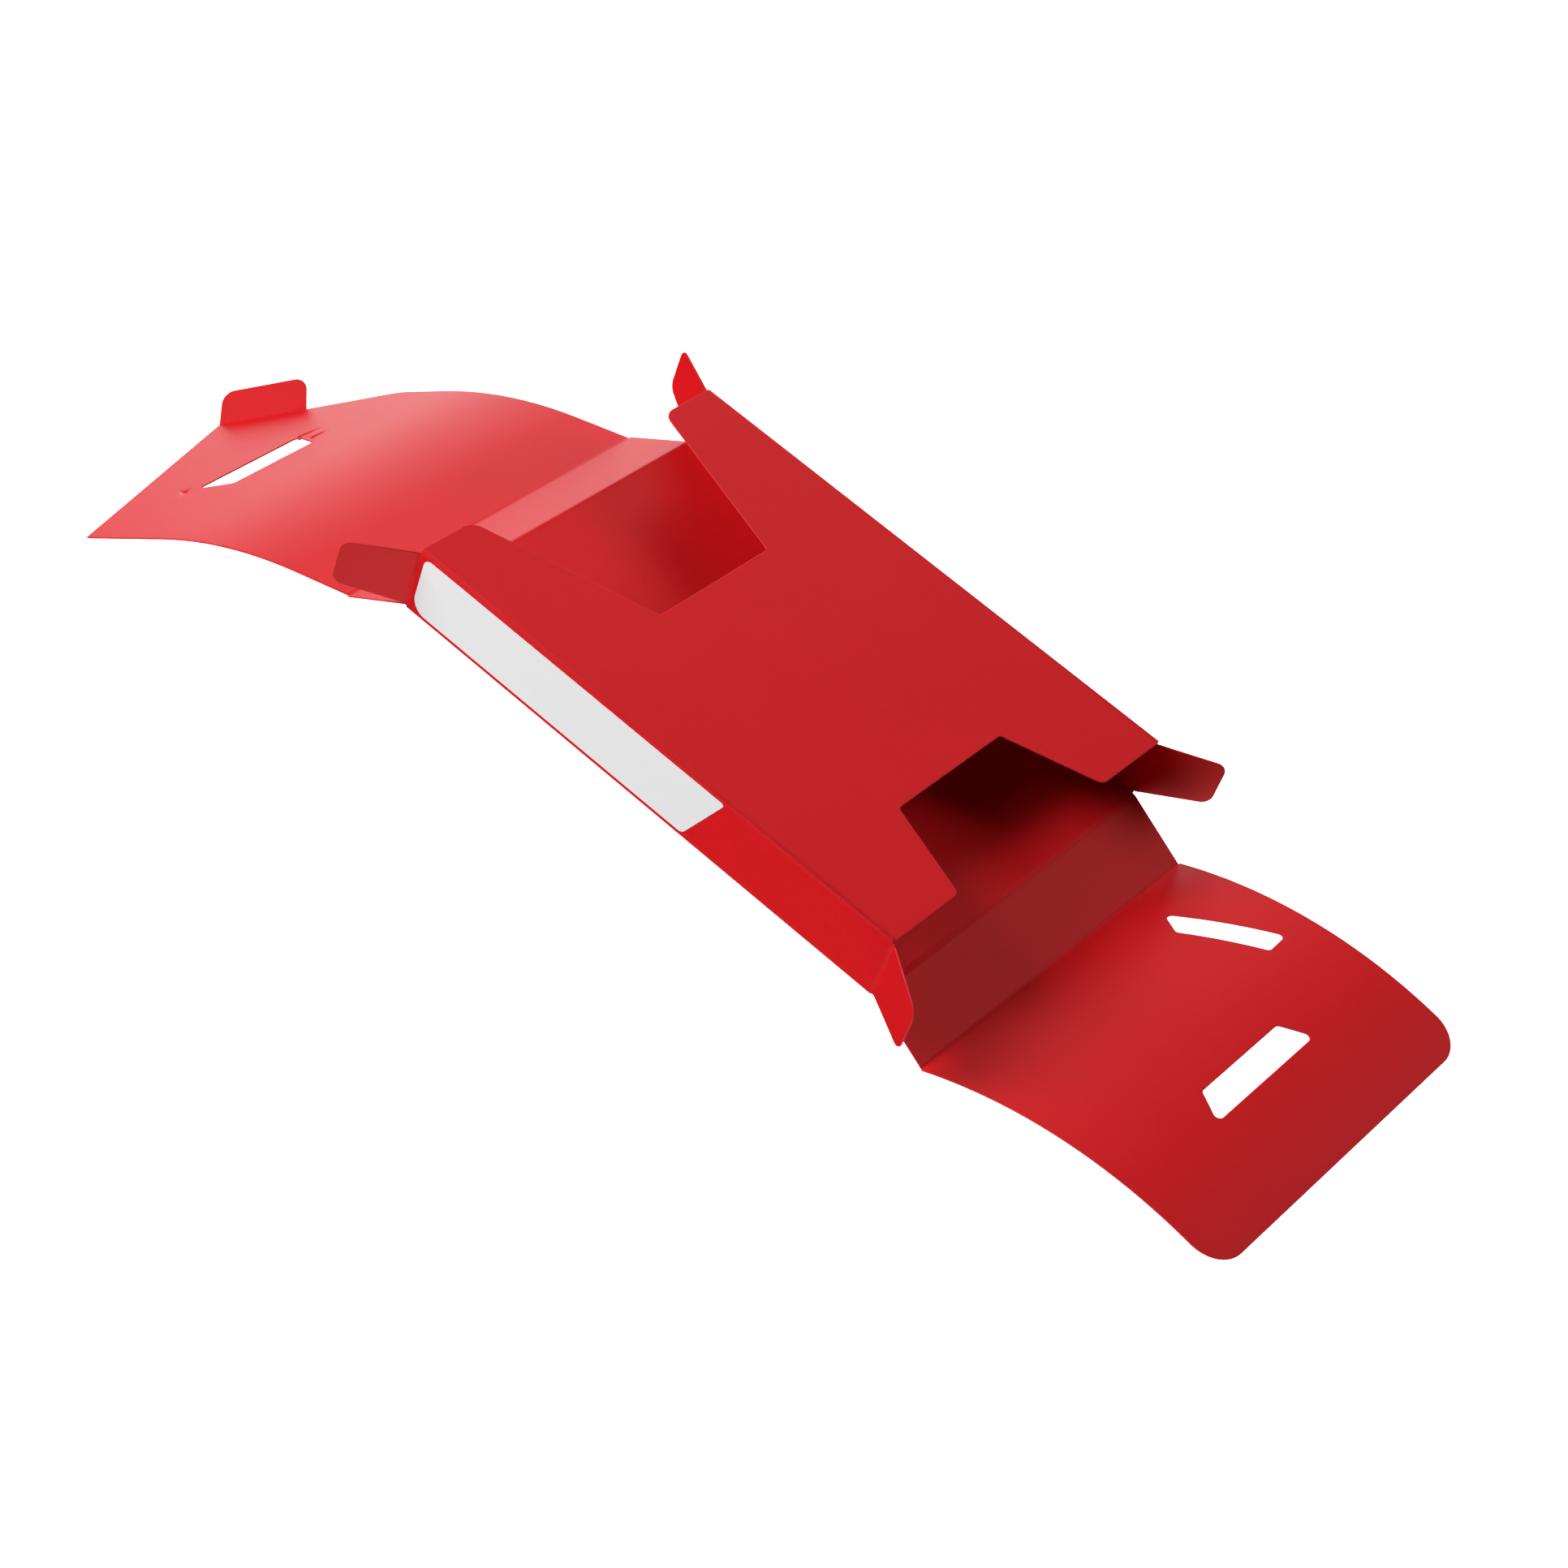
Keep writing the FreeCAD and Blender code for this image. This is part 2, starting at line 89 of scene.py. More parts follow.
cad_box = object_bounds()

MM = 0.001
low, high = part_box("base_panel")
CARD = high.z - low.z

# %% [markdown]
# ## Where the camera stands
# A camera could be given as a place and three turns. It is easier to read as an aim and a way of
# looking at it: the point that it looks at, how far round and how far above the horizon it
# stands, how far away, and how much it is rolled. A long lens keeps the far end of the sleeve
# nearly as large as the near one. The roll makes the sleeve run down the picture like a slide.

# %% Camera
CAMERA_AIM = Vector((23.39, -23.47, 0.0)) * MM
CAMERA_AZIMUTH = math.radians(24.554)
CAMERA_ELEVATION = math.radians(43.348)
CAMERA_ROLL = math.radians(21.903)
CAMERA_DISTANCE = 1069.07 * MM
CAMERA_LENS = 85.816
CAMERA_SENSOR = 36.0


def toward(azimuth, elevation):
    """The direction of something seen at an azimuth and an elevation, from the middle of the room."""
    flat = math.cos(elevation)
    return Vector((math.sin(azimuth) * flat, -math.cos(azimuth) * flat, math.sin(elevation)))


def add_camera():
    data = bpy.data.cameras.new("camera")
    data.lens = CAMERA_LENS
    data.sensor_width = CAMERA_SENSOR
    camera = bpy.data.objects.new("camera", data)
    bpy.context.scene.collection.objects.link(camera)
    back = toward(CAMERA_AZIMUTH, CAMERA_ELEVATION)
    camera.rotation_mode = "QUATERNION"
    camera.location = CAMERA_AIM + back * CAMERA_DISTANCE
    upright = (-back).to_track_quat("-Z", "Y")
    camera.rotation_quaternion = upright @ Matrix.Rotation(CAMERA_ROLL, 3, "Z").to_quaternion()
    bpy.context.scene.camera = camera
    return camera


camera = add_camera()
print("camera at", [round(x / MM) for x in camera.location], "mm")

# %% [markdown]
# ## Fibre and mottling
# Card is wet paper pulp that was rolled flat. Close up it shows short fibres that lie mostly
# along the way the web ran through the machine, and over a hand's breadth its dye is a little
# uneven. Both belong on every surface here, so each is a node group, built once and placed in
# each material with its own values. Noise that is stretched one way makes fibres, and a broad
# noise makes the mottling.


# %% Shader groups
def new_group(name, inputs, outputs):
    """A shader node group with named sockets: inputs are (name, kind, value), outputs (name, kind)."""
    group = bpy.data.node_groups.new(name, "ShaderNodeTree")
    for label, kind, value in inputs:
        socket = group.interface.new_socket(label, in_out="INPUT", socket_type=kind)
        socket.default_value = value
    for label, kind in outputs:
        group.interface.new_socket(label, in_out="OUTPUT", socket_type=kind)
    return group, group.nodes.new("NodeGroupInput"), group.nodes.new("NodeGroupOutput")


def add_node(tree, kind, **settings):
    """A node with its settings, where a setting named after an input socket sets that socket."""
    node = tree.nodes.new(kind)
    for key, value in settings.items():
        label = key.replace("_", " ")
        if label in node.inputs:
            node.inputs[label].default_value = value
        else:
            setattr(node, key, value)
    return node


GRAIN_FINENESS = 2.6             # how many times finer the short grain is than the long fibres
FIBRE_NOISE_RANGE = (0.7, 1.3)   # where the two noises, added up, mostly lie


def fibre_group():
    """Card fibre: a mask of light and dark fibres, and their height for a bump."""
    inputs = [("Fibres per Metre", "NodeSocketFloat", 1500.0), ("Stretch", "NodeSocketFloat", 4.0)]
    outputs = [("Mask", "NodeSocketFloat"), ("Height", "NodeSocketFloat")]
    group, given, result = new_group("card_fibre", inputs, outputs)
    place = add_node(group, "ShaderNodeTexCoord")
    squeeze = add_node(group, "ShaderNodeMath", operation="DIVIDE")
    squeeze.inputs[0].default_value = 1.0
    group.links.new(given.outputs["Stretch"], squeeze.inputs[1])
    scale = add_node(group, "ShaderNodeCombineXYZ", Y=1.0, Z=1.0)
    group.links.new(squeeze.outputs[0], scale.inputs["X"])
    mapping = add_node(group, "ShaderNodeVectorMath", operation="MULTIPLY")
    group.links.new(place.outputs["Object"], mapping.inputs[0])
    group.links.new(scale.outputs[0], mapping.inputs[1])
    long_fibres = add_node(group, "ShaderNodeTexNoise", Detail=3.0, Roughness=0.65, Distortion=0.6)
    fine_grain = add_node(group, "ShaderNodeTexNoise", Detail=2.0, Roughness=0.7)
    faster = add_node(group, "ShaderNodeMath", operation="MULTIPLY")
    faster.inputs[1].default_value = GRAIN_FINENESS
    group.links.new(given.outputs["Fibres per Metre"], long_fibres.inputs["Scale"])
    group.links.new(given.outputs["Fibres per Metre"], faster.inputs[0])
    group.links.new(faster.outputs[0], fine_grain.inputs["Scale"])
    group.links.new(mapping.outputs[0], long_fibres.inputs["Vector"])
    group.links.new(place.outputs["Object"], fine_grain.inputs["Vector"])
    both = add_node(group, "ShaderNodeMath", operation="ADD")
    group.links.new(long_fibres.outputs[0], both.inputs[0])
    group.links.new(fine_grain.outputs[0], both.inputs[1])
    spread = add_node(group, "ShaderNodeMapRange")
    spread.inputs["From Min"].default_value = FIBRE_NOISE_RANGE[0]
    spread.inputs["From Max"].default_value = FIBRE_NOISE_RANGE[1]
    group.links.new(both.outputs[0], spread.inputs["Value"])
    group.links.new(spread.outputs[0], result.inputs["Mask"])
    group.links.new(both.outputs[0], result.inputs["Height"])
    return group


def mottle_group():
    """Uneven dye: a soft mask that changes over some centimetres."""
    inputs = [("Patches per Metre", "NodeSocketFloat", 35.0)]
    group, given, result = new_group("uneven_dye", inputs, [("Mask", "NodeSocketFloat")])
    place = add_node(group, "ShaderNodeTexCoord")
    patches = add_node(group, "ShaderNodeTexNoise", Detail=4.0, Roughness=0.55)
    group.links.new(place.outputs["Object"], patches.inputs["Vector"])
    group.links.new(given.outputs["Patches per Metre"], patches.inputs["Scale"])
    group.links.new(patches.outputs[0], result.inputs["Mask"])
    return group


FIBRE = fibre_group()
MOTTLE = mottle_group()
print("shader groups:", FIBRE.name, "and", MOTTLE.name)

# %% [markdown]
# ## The card's finish
# This card is dyed right through, so its cut edge is red too. The face has been
# pressed smooth and has a faint gloss: seen along the surface it turns a little pale, and seen
# from above it is a deep matte red. A cut edge is raw fibre and rougher, and its tones are a
# painted highlight, lighter than the face, so that each rim shows as a thin line of light. Along a
# fold the fibres are stretched open, which makes a slightly lighter and rougher line. One function
# makes all four finishes, because card and paper differ only in tone, grain and smoothness.


# %% Materials
def paper_material(name, tones, fibres, patches, roughness, relief, gloss):
    """A fibrous sheet between two tones. strength says how much the fibres or the patches show."""
    material = bpy.data.materials.new(name)
    material.use_nodes = True
    tree = material.node_tree
    shader = tree.nodes["Principled BSDF"]
    shader.inputs["Specular IOR Level"].default_value = gloss
    fibre = add_node(tree, "ShaderNodeGroup", node_tree=FIBRE)
    fibre.inputs["Fibres per Metre"].default_value = fibres["per_metre"]
    fibre.inputs["Stretch"].default_value = fibres["stretch"]
    mottle = add_node(tree, "ShaderNodeGroup", node_tree=MOTTLE)
    mottle.inputs["Patches per Metre"].default_value = patches["per_metre"]
    base = add_node(tree, "ShaderNodeMix", data_type="RGBA")
    base.inputs["A"].default_value = (*tones[0], 1.0)
    base.inputs["B"].default_value = (*tones[1], 1.0)
    share = add_node(tree, "ShaderNodeMapRange")
    share.inputs["To Min"].default_value = 0.5 - fibres["strength"]
    share.inputs["To Max"].default_value = 0.5 + fibres["strength"]
    tree.links.new(fibre.outputs["Mask"], share.inputs["Value"])
    drift = add_node(tree, "ShaderNodeMapRange")
    drift.inputs["To Min"].default_value = -patches["strength"]
    drift.inputs["To Max"].default_value = patches["strength"]
    tree.links.new(mottle.outputs["Mask"], drift.inputs["Value"])
    tone = add_node(tree, "ShaderNodeMath", operation="ADD", use_clamp=True)
    tree.links.new(share.outputs[0], tone.inputs[0])
    tree.links.new(drift.outputs[0], tone.inputs[1])
    tree.links.new(tone.outputs[0], base.inputs["Factor"])
    tree.links.new(base.outputs["Result"], shader.inputs["Base Color"])
    rough = add_node(tree, "ShaderNodeMapRange")
    rough.inputs["To Min"].default_value = roughness[0]
    rough.inputs["To Max"].default_value = roughness[1]
    tree.links.new(fibre.outputs["Mask"], rough.inputs["Value"])
    tree.links.new(rough.outputs[0], shader.inputs["Roughness"])
    bump = add_node(tree, "ShaderNodeBump", Strength=relief["strength"], Distance=relief["height"])
    tree.links.new(fibre.outputs["Height"], bump.inputs["Height"])
    tree.links.new(bump.outputs["Normal"], shader.inputs["Normal"])
    return material


RED_DEEP = (0.650, 0.0070, 0.0105)
RED_PALE = (0.730, 0.0125, 0.0170)
# The cut edge's two tones are painted lighter than the face: a painted highlight along each rim.
EDGE_HIGHLIGHT_DEEP = (0.680, 0.0120, 0.0160)
EDGE_HIGHLIGHT_PALE = (0.860, 0.0450, 0.0520)
CREASE_PALE = (0.740, 0.0250, 0.0310)
WHITE_DEEP = (0.830, 0.832, 0.830)
WHITE_PALE = (0.880, 0.882, 0.880)

FINISHES = {
    "red_card": dict(
        tones=(RED_DEEP, RED_PALE),
        fibres=dict(per_metre=1500.0, stretch=4.0, strength=0.35),
        patches=dict(per_metre=35.0, strength=0.25),
        roughness=(0.46, 0.58),
        relief=dict(strength=0.25, height=0.02 * MM),
        gloss=0.08,
    ),
    # Raw fibre makes the edge rougher; its lighter tones are a painted highlight along the rim.
    "cut_edge_painted_highlight": dict(
        tones=(EDGE_HIGHLIGHT_DEEP, EDGE_HIGHLIGHT_PALE),
        fibres=dict(per_metre=3200.0, stretch=1.5, strength=0.45),
        patches=dict(per_metre=60.0, strength=0.2),
        roughness=(0.75, 0.9),
        relief=dict(strength=0.5, height=0.04 * MM),
        gloss=0.3,
    ),
    "creased_card": dict(
        tones=(RED_DEEP, CREASE_PALE),
        fibres=dict(per_metre=2200.0, stretch=2.0, strength=0.45),
        patches=dict(per_metre=90.0, strength=0.3),
        roughness=(0.55, 0.7),
        relief=dict(strength=0.4, height=0.03 * MM),
        gloss=0.06,
    ),
    "white_label": dict(
        tones=(WHITE_DEEP, WHITE_PALE),
        fibres=dict(per_metre=1200.0, stretch=2.0, strength=0.3),
        patches=dict(per_metre=25.0, strength=0.2),
        roughness=(0.50, 0.6),
        relief=dict(strength=0.15, height=0.015 * MM),
        gloss=0.5,
    ),
}
MATERIALS = {name: paper_material(name, **finish) for name, finish in FINISHES.items()}
print("materials:", ", ".join(MATERIALS))

# %% [markdown]
# ## A sheet that can bow
# Card doesn't stretch, so a bowed panel is a flat shape rolled round part of a cylinder. A Sheet
# holds the directions of one panel: outward from its fold, along the fold, and square to the
# card. It turns a flat place on the blank (how far out, how far along, how high above the middle
# of the card) into a place in the room, and back. Cutting and rounding are then done flat, where
# they are easy, and the bow comes last.


# %% Sheets
class Sheet:
    """A panel that runs flat for a lead, bows away from its normal round a radius, then runs flat again."""

    def __init__(self, origin, out, normal, lead=1.0, radius=1.0, turn=0.0):
        self.origin = Vector(origin)
        self.out = Vector(out).normalized()
        self.normal = Vector(normal).normalized()
        self.along = self.normal.cross(self.out)
        self.lead = lead
        self.radius = radius
        self.turn = turn

    def placed(self, flat):
        """Rows of (out, along, lift) as places in the room."""
        reach, along, lift = np.asarray(flat, float).T
        angle = np.clip((reach - self.lead) / self.radius, 0.0, self.turn)
        beyond = np.maximum(reach - self.lead - self.turn * self.radius, 0.0)
        run = np.minimum(reach, self.lead) + (self.radius + lift) * np.sin(angle) + beyond * np.cos(angle)
        rise = (self.radius + lift) * np.cos(angle) - self.radius - beyond * np.sin(angle)
        axes = np.array([self.out, self.along, self.normal])
        return np.array(self.origin) + np.column_stack([run, along, rise]) @ axes

    def unrolled(self, places):
        """Places in the room as rows of (out, along, lift) on the flat blank."""
        axes = np.array([self.out, self.along, self.normal])
        run, along, rise = ((np.asarray(places, float) - np.array(self.origin)) @ axes.T).T
        angle = np.clip(np.arctan2(run - self.lead, rise + self.radius), 0.0, self.turn)
        foot_run = self.lead + self.radius * np.sin(angle)
        foot_rise = self.radius * (np.cos(angle) - 1.0)
        forward = (run - foot_run) * np.cos(angle) - (rise - foot_rise) * np.sin(angle)
        lift = (run - foot_run) * np.sin(angle) + (rise - foot_rise) * np.cos(angle)
        return np.column_stack([self.lead + self.radius * angle + forward, along, lift])


def flat_sheet(node):
    """The sheet of a flat panel that lies square to the room: its normal is its thinnest way."""
    low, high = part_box(node)
    size = high - low
    normal = Vector((0.0, 0.0, 0.0))
    normal[min(range(3), key=lambda k: size[k])] = 1.0
    return Sheet((low + high) / 2, (1.0, 0.0, 0.0), normal)


def hinged_sheet(node, joint_name, **bow):
    """The sheet of a panel that leaves a fold: it points square out of the panel's root edge."""
    joint = joints[joint_name]
    pivot = Vector(joint["pos_m"])
    axis = Vector(joint["axis"])
    mesh = nodes[node].data
    away = Vector((0.0, 0.0, 0.0))
    for face in mesh.polygons:
        if all((mesh.vertices[v].co - pivot).cross(axis).length < CARD for v in face.vertices):
            away -= face.normal * face.area
    out = (away - axis * away.dot(axis)).normalized()
    return Sheet(pivot, out, axis.cross(out), **bow)


# Each tongue starts with a flat lead, then bows at this radius and turns no further than this.
RIGHT_TONGUE_BOW = dict(lead=0.3 * MM, radius=146.4 * MM, turn=math.radians(60.0))
LEFT_TONGUE_BOW = dict(lead=22.0 * MM, radius=172.0 * MM, turn=math.radians(19.4))
FLAPS = ("left_near", "left_far", "right_near", "right_far")
FLAT_PANELS = ("base_panel", "near_wall", "far_wall", "top_panel", "glue_flap", "label")

sheets = {node: flat_sheet(node) for node in FLAT_PANELS}
for place in FLAPS:
    sheets["flap_" + place] = hinged_sheet("flap_" + place, place + "_flap_fold")
for end in ("left", "right"):
    sheets[end + "_strip"] = hinged_sheet(end + "_strip", end + "_strip_fold")
sheets["left_tongue"] = hinged_sheet("left_tongue", "left_tongue_fold", **LEFT_TONGUE_BOW)
sheets["right_tongue"] = hinged_sheet("right_tongue", "right_tongue_fold", **RIGHT_TONGUE_BOW)
sheets["lock_tab"] = hinged_sheet("lock_tab", "lock_tab_fold")
for node, sheet in sheets.items():
    print(f"{node}: points along {[round(x, 3) for x in sheet.out]}")

# %% [markdown]
# ## Reading the cut line of a panel
# Each CAD node knows its own outline. Unrolled onto the flat blank, its upper face lies above the
# middle of the card, and the edges round that face are the lines that the cutting rule left: the
# outer edge and any slot. CAD draws a round corner with a few straight steps. The card would look
# chipped with them, so each step of a round is divided along its own circle.


# %% Cut lines
def signed_area(loop):
    x, y = loop.T
    return 0.5 * float(np.sum(x * np.roll(y, -1) - np.roll(x, -1) * y))


SAME_CORNER = 0.001 * MM   # corners closer than this are one corner


def cut_lines(node, sheet):
    """The outer edge, anticlockwise, and then any slots, clockwise, as loops on the flat blank."""
    mesh = nodes[node].data
    flat = sheet.unrolled([v.co for v in mesh.vertices])
    keys = [tuple(int(round(c / SAME_CORNER)) for c in row) for row in flat]
    at = dict(zip(keys, flat))
    ways = set()
    for face in mesh.polygons:
        corners = [keys[v] for v in face.vertices]
        if all(flat[v][2] > 0.0 for v in face.vertices):
            ways.update(zip(corners, corners[1:] + corners[:1]))
    ahead = {a: b for a, b in ways if (b, a) not in ways}
    loops = []
    while ahead:
        chain = [next(iter(sorted(ahead)))]
        while chain[-1] in ahead:
            chain.append(ahead.pop(chain[-1]))
        loops.append(np.array([at[k][:2] for k in chain[:-1]]))
    loops.sort(key=lambda loop: -abs(signed_area(loop)))
    return [loop if (signed_area(loop) > 0) == (i == 0) else loop[::-1] for i, loop in enumerate(loops)]


ROUND_STEP = math.radians(6.0)
LONGEST_ROUND_STEP = 4.0 * MM
SHARPEST_ROUND_TURN = math.radians(50.0)
LEAST_ROUND_TURN = math.radians(0.5)


def smooth_rounds(loop):
    """Divide the straight steps of each round along the circle that they stand for."""
    step = np.roll(loop, -1, axis=0) - loop
    length = np.linalg.norm(step, axis=1)
    heading = np.arctan2(step[:, 1], step[:, 0])
    turn = (heading - np.roll(heading, 1) + math.pi) % (2 * math.pi) - math.pi
    points = []
    for i in range(len(loop)):
        points.append(loop[i])
        here, there = turn[i], turn[(i + 1) % len(loop)]
        sweep = max(abs(here), abs(there))
        same_way = here * there > 0 and min(abs(here), abs(there)) > LEAST_ROUND_TURN
        if not same_way or sweep > SHARPEST_ROUND_TURN or length[i] > LONGEST_ROUND_STEP:
            continue
        radius = length[i] / (2 * math.sin(sweep / 2))
        side = math.copysign(1.0, here)
        inward = np.array([-step[i][1], step[i][0]]) / length[i] * side
        centre = loop[i] + step[i] / 2 + inward * radius * math.cos(sweep / 2)
        parts = max(2, math.ceil(sweep / ROUND_STEP))
        spoke = loop[i] - centre
        for k in range(1, parts):
            angle = side * sweep * k / parts
            c, s = math.cos(angle), math.sin(angle)
            points.append(centre + np.array([spoke[0] * c - spoke[1] * s, spoke[0] * s + spoke[1] * c]))
    return np.array(points)


outlines = {}
for node, sheet in sheets.items():
    outlines[node] = [smooth_rounds(loop) for loop in cut_lines(node, sheet)]
    count = sum(len(loop) for loop in outlines[node])
    print(f"{node}: {len(outlines[node]) - 1} slots, {count} points on its cut lines")

# %% [markdown]
# ## From a cut line to a piece of card
# A die cuts card by crushing it, so the edge isn't a knife-sharp box: both rims are a little
# rounded. The piece is built flat. Its two faces are filled with an even net of points, so that
# they can bow and warp smoothly, and a band of narrow rings follows the cut line from the upper
# face round to the lower one. The ring next to each face is a support: it keeps the shading of
# the rounded rim from spilling onto the flat. The rim gets the raw edge's material, whose lighter
# tone is a painted highlight along the cut edge.


# %% Card pieces
CORNER_LIMIT = 0.3    # keeps the inset of a very sharp corner short
SMALLEST = 1e-18      # stands in for the square of an edge of no length
NET_GAP = 0.4         # share of the net's spacing that its points keep from the cut lines
NET_TOLERANCE = 1e-7  # in millimetres, as the points are while they are filled


def inset(loop, distance):
    """The loop moved into the card, square to its edges."""
    step = np.roll(loop, -1, axis=0) - loop
    step /= np.linalg.norm(step, axis=1)[:, None]
    inward = np.column_stack([-step[:, 1], step[:, 0]])
    before = np.roll(inward, 1, axis=0)
    share = 1.0 + np.sum(inward * before, axis=1)[:, None]
    return loop + distance * (inward + before) / np.maximum(share, CORNER_LIMIT)


def inside(points, loop):
    """Which points lie inside a loop."""
    x, y = points.T
    found = np.zeros(len(points), bool)
    for (ax, ay), (bx, by) in zip(loop, np.roll(loop, -1, axis=0)):
        crosses = (ay > y) != (by > y)
        if ay != by:
            found ^= crosses & (x < ax + (y - ay) * (bx - ax) / (by - ay))
    return found


def clear_of(points, loop, distance):
    """Which points keep at least a distance from every edge of a loop."""
    keep = np.ones(len(points), bool)
    for a, b in zip(loop, np.roll(loop, -1, axis=0)):
        along = b - a
        share = np.clip((points - a) @ along / max(float(along @ along), SMALLEST), 0.0, 1.0)
        keep &= np.linalg.norm(points - a - share[:, None] * along, axis=1) > distance
    return keep


def net(loops, spacing, extra):
    """Triangles that fill the outer loop and leave the slots open. Returns points and triangles."""
    low = loops[0].min(axis=0)
    high = loops[0].max(axis=0)
    counts = np.maximum(np.ceil((high - low) / spacing).astype(int), 1)
    columns = [np.linspace(low[k], high[k], counts[k] + 1) for k in range(2)]
    grid = np.array([(x, y) for x in columns[0] for y in columns[1]])
    keep = inside(grid, loops[0])
    for loop in loops[1:]:
        keep &= ~inside(grid, loop)
    for loop in loops:
        keep &= clear_of(grid, loop, NET_GAP * spacing)
    if len(extra):
        gaps = np.linalg.norm(grid[:, None] - extra[None], axis=2).min(axis=1)
        keep &= gaps > NET_GAP * spacing
    points = np.vstack([*loops, grid[keep], extra])
    edges = []
    start = 0
    for loop in loops:
        count = len(loop)
        edges += [(start + i, start + (i + 1) % count) for i in range(count)]
        start += count
    made = delaunay_2d_cdt([Vector(p) for p in points / MM], edges, [], 0, NET_TOLERANCE, True)
    original = [ids[0] for ids in made[3]]
    triangles = np.array([[original[v] for v in face] for face in made[2]])
    middles = points[triangles].mean(axis=1)
    keep = inside(middles, loops[0])
    for loop in loops[1:]:
        keep &= ~inside(middles, loop)
    return points, triangles[keep]


def new_piece(name, places, faces, materials, face_materials):
    """A smooth-shaded mesh object of those corners and faces."""
    mesh = bpy.data.meshes.new(name)
    mesh.from_pydata([tuple(p) for p in places], [], [tuple(int(v) for v in f) for f in faces])
    for material in materials:
        mesh.materials.append(MATERIALS[material])
    mesh.polygons.foreach_set("material_index", face_materials)
    mesh.polygons.foreach_set("use_smooth", [True] * len(mesh.polygons))
    mesh.update()
    piece = bpy.data.objects.new(name, mesh)
    bpy.context.scene.collection.objects.link(piece)
    return piece


EDGE_ROUND = 0.3   # radius of a rim, as a share of the thickness
SUPPORT = 0.9      # where the flat face begins, as a share of the thickness
RIM_STEPS = 4


def sheet_piece(name, sheet, loops, thickness, spacing, materials, lift=None, extra=()):
    """A piece of card or paper with rounded rims. lift(out, along) raises or sinks it a little."""
    half = thickness / 2
    soft = EDGE_ROUND * thickness
    angles = np.linspace(0, math.pi / 2, RIM_STEPS)
    bevel = [(soft * (1 - math.sin(a)), half - soft * (1 - math.cos(a))) for a in angles]
    profile = bevel + [(depth, -height) for depth, height in reversed(bevel)]
    face_loops = [inset(loop, SUPPORT * thickness) for loop in loops]
    points, triangles = net(face_loops, spacing, np.array(extra).reshape(-1, 2))
    count = len(points)
    flat = [np.column_stack([points, np.full(count, side * half)]) for side in (1, -1)]
    faces = [tuple(t) for t in triangles]
    faces += [tuple(reversed(t + count)) for t in triangles]
    kinds = [0] * len(faces)
    total = 2 * count
    start = 0
    for loop in loops:
        size = len(loop)
        rings = [np.arange(start, start + size)]
        for depth, height in profile:
            rings.append(np.arange(total, total + size))
            flat.append(np.column_stack([inset(loop, depth), np.full(size, height)]))
            total += size
        rings.append(np.arange(start, start + size) + count)
        for k in range(len(rings) - 1):
            upper, lower = rings[k], rings[k + 1]
            on_rim = 0 < k < len(rings) - 2
            for i in range(size):
                j = (i + 1) % size
                faces.append((upper[j], upper[i], lower[i], lower[j]))
                kinds.append(1 if on_rim else 0)
        start += size
    flat = np.vstack(flat)
    if lift is not None:
        flat[:, 2] += lift(flat[:, 0], flat[:, 1])
    return new_piece(name, sheet.placed(flat), faces, materials, kinds)


# %% [markdown]
# ## Small signs of use
# Card remembers how it has been handled. Short lines are pressed into the left tongue beyond the
# ends of its slot, and the upper outer corner of the right end's far flap curls away from the
# sleeve. Both are less than a millimetre deep, so they only show as a change of shade. They could
# be a bump in the finish, but a lift moves the card's own points, so the marks are in the shape
# and the card keeps its thickness.

# %% Signs of use
MARK_WIDTH = 0.7 * MM
MARK_DEPTH = 0.7 * MM
MARK_STEP = 0.6 * MM         # the net over a mark is this fine
MARK_ROWS = 3                # rows of that net on each side of the mark's line
MARK_OVERRUN = 1.15          # the net goes on past the mark's end, as a share of its length
MARK_EDGE_GAP = 0.6 * MM     # what the net keeps from the cut lines
MARK_POINT_GAP = 0.3 * MM    # and its points from each other
CURL = 0.45 * MM
CURL_START = 0.25            # how far out the curl begins, as a share of the way to the corner
slot = outlines["left_tongue"][1]
slot_end = np.ptp(slot[:, 1]) / 2
slot_tip_side = slot[:, 0].max()
slot_root_side = slot[:, 0].min()
# Each mark runs from the first place to the second: distance from the tongue's fold, and along it.
MARKS = (
    ((slot_tip_side - 0.3 * MM, -slot_end - 0.8 * MM), (slot_tip_side - 2.3 * MM, -slot_end - 9.0 * MM)),
    ((slot_root_side + 5.0 * MM, -slot_end - 0.2 * MM), (slot_root_side + 4.0 * MM, -slot_end - 6.0 * MM)),
    ((slot_tip_side + 3.8 * MM, slot_end + 3.4 * MM), (slot_tip_side + 1.6 * MM, slot_end + 5.8 * MM)),
)


def along_mark(out, along, mark):
    """How far a point is from a mark's line, and its share of the way along the mark."""
    start, stop = np.array(mark[0]), np.array(mark[1])
    run = stop - start
    share = ((out - start[0]) * run[0] + (along - start[1]) * run[1]) / (run @ run)
    near = np.clip(share, 0.0, 1.0)
    gap = np.hypot(out - start[0] - near * run[0], along - start[1] - near * run[1])
    return gap, near


def pressed_marks(out, along):
    """The marks' grooves: deepest where a mark starts and fading toward its other end."""
    depth = np.zeros_like(out)
    for mark in MARKS:
        gap, share = along_mark(out, along, mark)
        depth -= MARK_DEPTH * (1.0 - share**2) * np.exp(-((gap / MARK_WIDTH) ** 2))
    return depth


